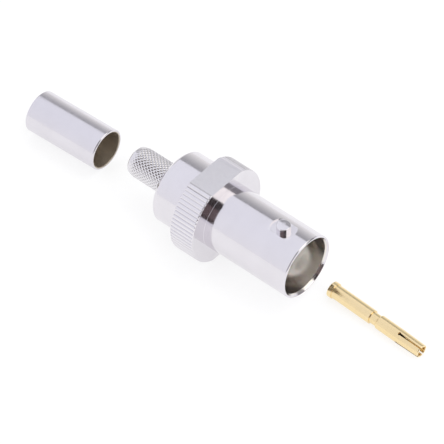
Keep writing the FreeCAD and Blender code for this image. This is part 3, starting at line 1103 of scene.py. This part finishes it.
@dataclass(frozen=True)
class CentreContact:
    """Gold-plated contact: collar, barrel, catch groove and a socket of four tines.

    Sizes across are radii, and places are distances from the collar's end, in millimetres.

    Args:
        length: from the collar's end to the tip.
        collar_radius: of the collar.
        collar_length: of the collar.
        barrel_radius: of the barrel.
        tip_radius: of the tines at the tip, where they close in.
        rounding: of the collar's end and the tip.
        catch_radius: at the bottom of the catch groove.
        catch_span: from and to of the catch groove.
        wire_bore: of the hole for the wire.
        wire_depth: of that hole.
        socket_bore: of the socket.
        socket_depth: of the socket.
        slot_root: where the slots end.
        slot_widths: of a slot at its root and at the tip.
        relief: of the hole that ends each slot.
    """

    length: float = 16.1
    collar_radius: float = 1.175
    collar_length: float = 0.7
    barrel_radius: float = 1.025
    tip_radius: float = 0.95
    rounding: float = 0.1
    catch_radius: float = 0.825
    catch_span: tuple[float, float] = (7.35, 8.55)
    wire_bore: float = 0.5
    wire_depth: float = 5.0
    socket_bore: float = 0.675
    socket_depth: float = 5.6
    slot_root: float = 12.4
    slot_widths: tuple[float, float] = (0.3, 0.2)
    relief: float = 0.225

    def pose(self) -> Pose:
        """Where it lies on the floor, on the rounded ends of its collar and its tip."""
        reach = self.length - 2.0 * self.rounding
        dip = math.asin((self.collar_radius - self.tip_radius) / reach)
        start = (6.23, 2.94, FLOOR_Z + self.collar_radius)
        return Pose(start, turn=-2.3, dip=math.degrees(dip), roll=20.0)

    def profile(self) -> list[Corner]:
        """The outline, from the wire hole round the outside and back through the socket."""
        barrel, groove_start, groove_end = self.barrel_radius, *self.catch_span
        floor = self.length - self.socket_depth
        stations = [
            (0.0, self.wire_bore, 0.03), (0.0, self.collar_radius, self.rounding),
            (self.collar_length, self.collar_radius, 0.05), (self.collar_length, barrel, 0.03),
            (groove_start, barrel, 0.04), (groove_start, self.catch_radius, 0.02),
            (groove_end, self.catch_radius, 0.03), (groove_end, barrel - 0.1, 0.02),
            (groove_end + 0.1, barrel, 0.03), (self.slot_root, barrel, 0.3),
            (self.length, self.tip_radius, self.rounding), (self.length, self.socket_bore, 0.05),
            (floor, self.socket_bore, 0.0), (floor, 0.0, 0.0),
            (self.wire_depth, 0.0, 0.0), (self.wire_depth, self.wire_bore, 0.0)]
        return [Corner(along, radius, rounding) for along, radius, rounding in stations]

    def slot_cutter(self, turn: float) -> bmesh.types.BMesh:
        """The blade and drill that make one slot right across the socket.

        Args:
            turn: round the contact's axis, in radians.

        Returns:
            The cutter, in millimetres.
        """
        cutter = bmesh.new()
        reach = 3.0
        past_tip = 0.3
        at_root, at_tip = self.slot_widths
        made = bmesh.ops.create_cube(cutter, size=1.0)
        for vert in made["verts"]:
            tip = vert.co.x > 0.0
            width = at_tip if tip else at_root
            vert.co = Vector((
                self.length + past_tip if tip else self.slot_root,
                math.copysign(width / 2, vert.co.y), math.copysign(reach / 2, vert.co.z)))
        drill = bmesh.ops.create_cone(
            cutter, cap_ends=True, segments=32, radius1=self.relief, radius2=self.relief, depth=reach)
        bmesh.ops.translate(cutter, verts=drill["verts"], vec=(self.slot_root, 0, 0))
        bmesh.ops.rotate(
            cutter, verts=list(cutter.verts), cent=(0, 0, 0), matrix=Matrix.Rotation(turn, 3, "X"))
        return cutter

    def build(self, finish: bpy.types.Material) -> bpy.types.Object:
        """Make the shown contact.

        Args:
            finish: its material.

        Returns:
            The object.
        """
        solid = Lathe(128, 3).turn(self.profile())
        for turn in (0.0, math.pi / 2):
            solid = carve(solid, self.slot_cutter(turn))
        return Piece("contact_pin", ["centre_contact"], Slot.GOLD, finish).place(solid, self.pose())


# The camera's own axes, and level directions towards the camera and across its view.
VIEW_RIGHT = Vector((0.756933, 0.653492, 0.000387))
VIEW_UP = Vector((-0.481039, 0.556781, 0.677197))
VIEW_BACK = Vector((0.442328, -0.512779, 0.735802))
AISLE = Vector((VIEW_BACK.x, VIEW_BACK.y, 0.0)).normalized()
ACROSS = Vector((-AISLE.y, AISLE.x, 0.0))


class Pole(Enum):
    """Axis that a panel is bent round: straight up, or along the connector."""

    UP = "Z"
    ALONG = "X"

    def frame(self) -> tuple[Vector, Vector]:
        """The axis, and the direction square to it where angles start."""
        return (Vector((0, 0, 1)), AISLE) if self is Pole.UP else (Vector((1, 0, 0)), Vector((0, 1, 0)))


@dataclass(frozen=True)
class Panel:
    """A stretch of studio wall, ceiling or dark opening that bright metal mirrors.

    Args:
        name: the object's name.
        turn: from and to, in degrees round the pole.
        rise: from and to, in degrees towards the pole.
        low: colour at its lower edge, linear.
        high: colour at its upper edge, linear.
        radius: distance, in metres.
        pole: what it is bent round.
        steps: facets along the turn.
        rise_steps: facets along the rise.
    """

    name: str
    turn: tuple[float, float]
    rise: tuple[float, float]
    low: Colour
    high: Colour
    radius: float = 0.9
    pole: Pole = Pole.UP
    steps: int = 48
    rise_steps: int = 24

    def material(self) -> bpy.types.Material:
        """An even glow from the lower to the upper colour."""
        material = bpy.data.materials.new(self.name)
        material.use_nodes = True
        graph = Graph(material.node_tree)
        material.node_tree.nodes.remove(material.node_tree.nodes["Principled BSDF"])
        place = graph.add("SeparateXYZ", inputs={0: graph.add("TexCoord").outputs["Object"]})
        bottom, top = (math.sin(math.radians(e)) * self.radius for e in self.rise)
        share = graph.span(place.outputs[self.pole.value], bottom, top)
        glow = graph.add("Emission", inputs={
            "Color": graph.mix(share, opaque(self.low), opaque(self.high)), "Strength": 1.0})
        graph.feed(material.node_tree.nodes["Material Output"].inputs["Surface"], glow.outputs[0])
        return material

    def build(self) -> bpy.types.Object:
        """Make the panel, which only reflections see."""
        bm = bmesh.new()
        axis, zero = self.pole.frame()
        start = Matrix.Rotation(math.radians(self.turn[0]), 3, axis) @ zero
        low, high = (math.radians(e) for e in self.rise)
        angles = [low + (high - low) * i / self.rise_steps for i in range(self.rise_steps + 1)]
        verts = [bm.verts.new((start * math.cos(a) + axis * math.sin(a)) * self.radius) for a in angles]
        edges = [bm.edges.new(pair) for pair in zip(verts, verts[1:])]
        bmesh.ops.spin(
            bm, geom=verts + edges, cent=(0, 0, 0), axis=axis,
            angle=math.radians(self.turn[1] - self.turn[0]), steps=self.steps)
        mesh = bpy.data.meshes.new(self.name)
        bm.to_mesh(mesh)
        bm.free()
        mesh.materials.append(self.material())
        panel = bpy.data.objects.new(self.name, mesh)
        bpy.context.scene.collection.objects.link(panel)
        panel.visible_camera = panel.visible_diffuse = panel.visible_shadow = False
        panel.visible_transmission = False
        panel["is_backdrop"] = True
        return panel


def long_panel(
        name: str, turn: tuple[float, float], rise: tuple[float, float], colour: Colour,
        radius: float) -> Panel:
    """A panel of one colour, bent round the connector's own axis.

    Args:
        name: the object's name.
        turn: from and to, in degrees round that axis.
        rise: from and to, in degrees towards the mouth.
        colour: of its glow, linear.
        radius: distance, in metres.

    Returns:
        The panel.
    """
    return Panel(name, turn, rise, colour, colour, radius, Pole.ALONG)


PANELS = (
    Panel("tent", (0.0, 360.0), (0.5, 89.5), (0.96, 0.96, 1.0), (0.93, 0.94, 1.01), 1.3),
    Panel("wall_behind", (150.0, 215.0), (1.0, 45.3), (0.98, 0.97, 0.96), (0.36, 0.36, 0.38)),
    long_panel("softbox", (43.0, 96.0), (-12.0, 58.0), (1.45, 1.42, 1.35), 0.8),
    long_panel("corner", (12.0, 43.0), (-4.0, 58.0), (0.3, 0.29, 0.3), 0.8),
    long_panel("opening", (96.0, 124.0), (-12.0, 58.0), (0.04, 0.03, 0.03), 0.7),
    long_panel("aisle", (124.0, 160.0), (-12.0, 58.0), (0.15, 0.11, 0.11), 0.7),
    long_panel("threshold", (160.0, 172.0), (-12.0, 58.0), (0.07, 0.05, 0.05), 0.7),
)


@dataclass(frozen=True)
class Studio:
    """Camera, white floor and background, lamps and the panels that the metal mirrors.

    Args:
        camera_place: of the camera, in millimetres.
        lens: of the camera, in millimetres on a film 36 mm wide.
        sky: colour of the soft light from all round, linear.
        paper: colour of the floor as the light finds it, linear.
        shadow_share: grey of the seen floor that takes the object's shadow.
        glow_share: grey that the seen floor adds to reach white.
        floor_size: half the floor's width, in metres.
        floor_gap: how far the floor lies below the pieces, in metres.
    """

    camera_place: tuple[float, float, float] = (209.11, -255.04, 364.26)
    lens: float = 295.92
    sky: Colour = (0.88, 0.88, 0.9)
    paper: Colour = (0.82, 0.81, 0.8)
    shadow_share: float = 0.34
    glow_share: float = 0.72
    floor_size: float = 3.0
    floor_gap: float = 1e-5

    def camera(self) -> None:
        """Look from where the photograph was taken."""
        data = bpy.data.cameras.new("camera")
        data.sensor_width = 36.0
        data.lens = self.lens
        data.clip_start, data.clip_end = 0.01, 20.0
        camera = bpy.data.objects.new("camera", data)
        turn = Matrix((VIEW_RIGHT, VIEW_UP, VIEW_BACK)).transposed().to_4x4()
        camera.matrix_world = Matrix.Translation(Vector(self.camera_place) * MM) @ turn
        bpy.context.scene.collection.objects.link(camera)
        bpy.context.scene.camera = camera

    def seen(self, graph: Graph) -> bpy.types.NodeSocket:
        """Tell rays that show a surface from rays that light one.

        Args:
            graph: where it is asked.

        Returns:
            1 for rays from the camera, or seen in or through a piece, else 0.
        """
        path = graph.add("LightPath")
        seen = graph.math("MAXIMUM", path.outputs["Is Camera Ray"], path.outputs["Is Glossy Ray"])
        return graph.math("MAXIMUM", seen, path.outputs["Is Transmission Ray"])

    def world(self) -> None:
        """White background, and plain soft light from all round."""
        world = bpy.data.worlds.new("studio")
        world.use_nodes = True
        bpy.context.scene.world = world
        graph = Graph(world.node_tree)
        background = world.node_tree.nodes["Background"]
        graph.feed(background.inputs["Color"], graph.mix(
            self.seen(graph), opaque(self.sky), opaque((1.0, 1.0, 1.0))))
        background.inputs["Strength"].default_value = 1.0

    def paper_material(self) -> bpy.types.Material:
        """White paper where it is seen, which keeps a soft shadow."""
        material = bpy.data.materials.new("floor")
        material.use_nodes = True
        graph = Graph(material.node_tree)
        material.node_tree.nodes.remove(material.node_tree.nodes["Principled BSDF"])
        grey = (1.0, 1.0, 1.0)
        plain = graph.add("BsdfDiffuse", inputs={"Color": opaque(self.paper)})
        shadowed = graph.add("BsdfDiffuse", inputs={"Color": opaque(grey, self.shadow_share)})
        glow = graph.add("Emission", inputs={"Color": opaque(grey, self.glow_share), "Strength": 1.0})
        white = graph.add("AddShader", inputs={0: shadowed.outputs[0], 1: glow.outputs[0]})
        mixed = graph.add("MixShader", inputs={
            0: self.seen(graph), 1: plain.outputs[0], 2: white.outputs[0]})
        graph.feed(material.node_tree.nodes["Material Output"].inputs["Surface"], mixed.outputs[0])
        return material

    def floor(self) -> None:
        """A plain level floor under the pieces."""
        bm = bmesh.new()
        bmesh.ops.create_grid(bm, x_segments=4, y_segments=4, size=self.floor_size)
        bmesh.ops.translate(bm, verts=list(bm.verts), vec=(0, 0, FLOOR_Z * MM - self.floor_gap))
        mesh = bpy.data.meshes.new("floor")
        bm.to_mesh(mesh)
        bm.free()
        mesh.materials.append(self.paper_material())
        floor = bpy.data.objects.new("floor", mesh)
        bpy.context.scene.collection.objects.link(floor)
        floor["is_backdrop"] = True

    def lamp(self, name: str, place: Vector, size: tuple[float, float], watts: float) -> None:
        """Hang a soft lamp that shines at the origin.

        Args:
            name: the lamp's name.
            place: where it hangs, in metres.
            size: of its face, in metres.
            watts: its power.
        """
        data = bpy.data.lights.new(name, "AREA")
        data.shape = "RECTANGLE"
        data.size, data.size_y = size
        data.energy = watts
        lamp = bpy.data.objects.new(name, data)
        lamp.location = place
        lamp.rotation_mode = "QUATERNION"
        lamp.rotation_quaternion = (-place).to_track_quat("-Z", "Y")
        lamp.visible_glossy = False
        bpy.context.scene.collection.objects.link(lamp)

    def build(self) -> None:
        """Set up everything round the object."""
        bpy.context.scene.view_settings.view_transform = "Standard"
        self.camera()
        self.world()
        self.floor()
        self.lamp("overhead", Vector((0, 0, 0.7)) + ACROSS * 0.2 - AISLE * 0.1, (0.5, 0.4), 0.5)
        self.lamp("before_mouth", Vector((0.4, -0.04, 0.06)), (0.12, 0.12), 0.6)
        for panel in PANELS:
            panel.build()


def main() -> None:
    """Build the finishes, every piece and the studio."""
    logging.basicConfig(level=logging.INFO, format="%(name)s: %(message)s")
    sizes = write_size("frame")
    turned_marks_group()
    handled_group()
    worn_edge_group()
    ferrule, contact = Ferrule(), CentreContact()
    # The body's bore is painted a warmer colour than its plating, in place of its light and shade.
    nickel = MetalFinish(
        "bright_nickel", (0.775, 0.75, 0.79), 0.09, flat_height=0.0064, inner_radius=0.0044,
        bore_shading_tint=(0.82, 0.78, 0.74), inner_roughness=0.08).build()
    # The sleeve's bore is painted darker, as painted shade.
    knurled = MetalFinish("knurled_nickel", (0.78, 0.76, 0.79), 0.13, inner_radius=0.00165).build()
    # The tube's bore is painted dark brown, as painted shade.
    tube = MetalFinish(
        "tube_nickel", (0.74, 0.715, 0.765), 0.13, rings_per_mm=9.0, pose=ferrule.pose(),
        inner_radius=0.0029, bore_shading_tint=(0.56, 0.5, 0.42)).build()
    gold = MetalFinish(
        "gold_plate", (0.93, 0.74, 0.42), 0.12, rings_per_mm=18.0, pose=contact.pose(),
        worn_tint=(0.97, 0.82, 0.55)).build()
    white = DielectricFinish("white_dielectric", (0.86, 0.86, 0.84), 0.38, mark_depth=2e-6).build()
    ConnectorBody().build(nickel)
    BayonetStud(above=True).build(nickel)
    BayonetStud(above=False).build(nickel)
    Insulators().build(white)
    CrimpSleeve().build(knurled)
    ferrule.build(tube)
    contact.build(gold)
    Studio().build()
    sizes.update(write_size("pieces"))
    for name, (low, high) in sizes.items():
        LOG.info("%s spans %s mm", name, [round((b - a) * 1000, 2) for a, b in zip(low, high)])


if __name__ == "__main__":
    main()
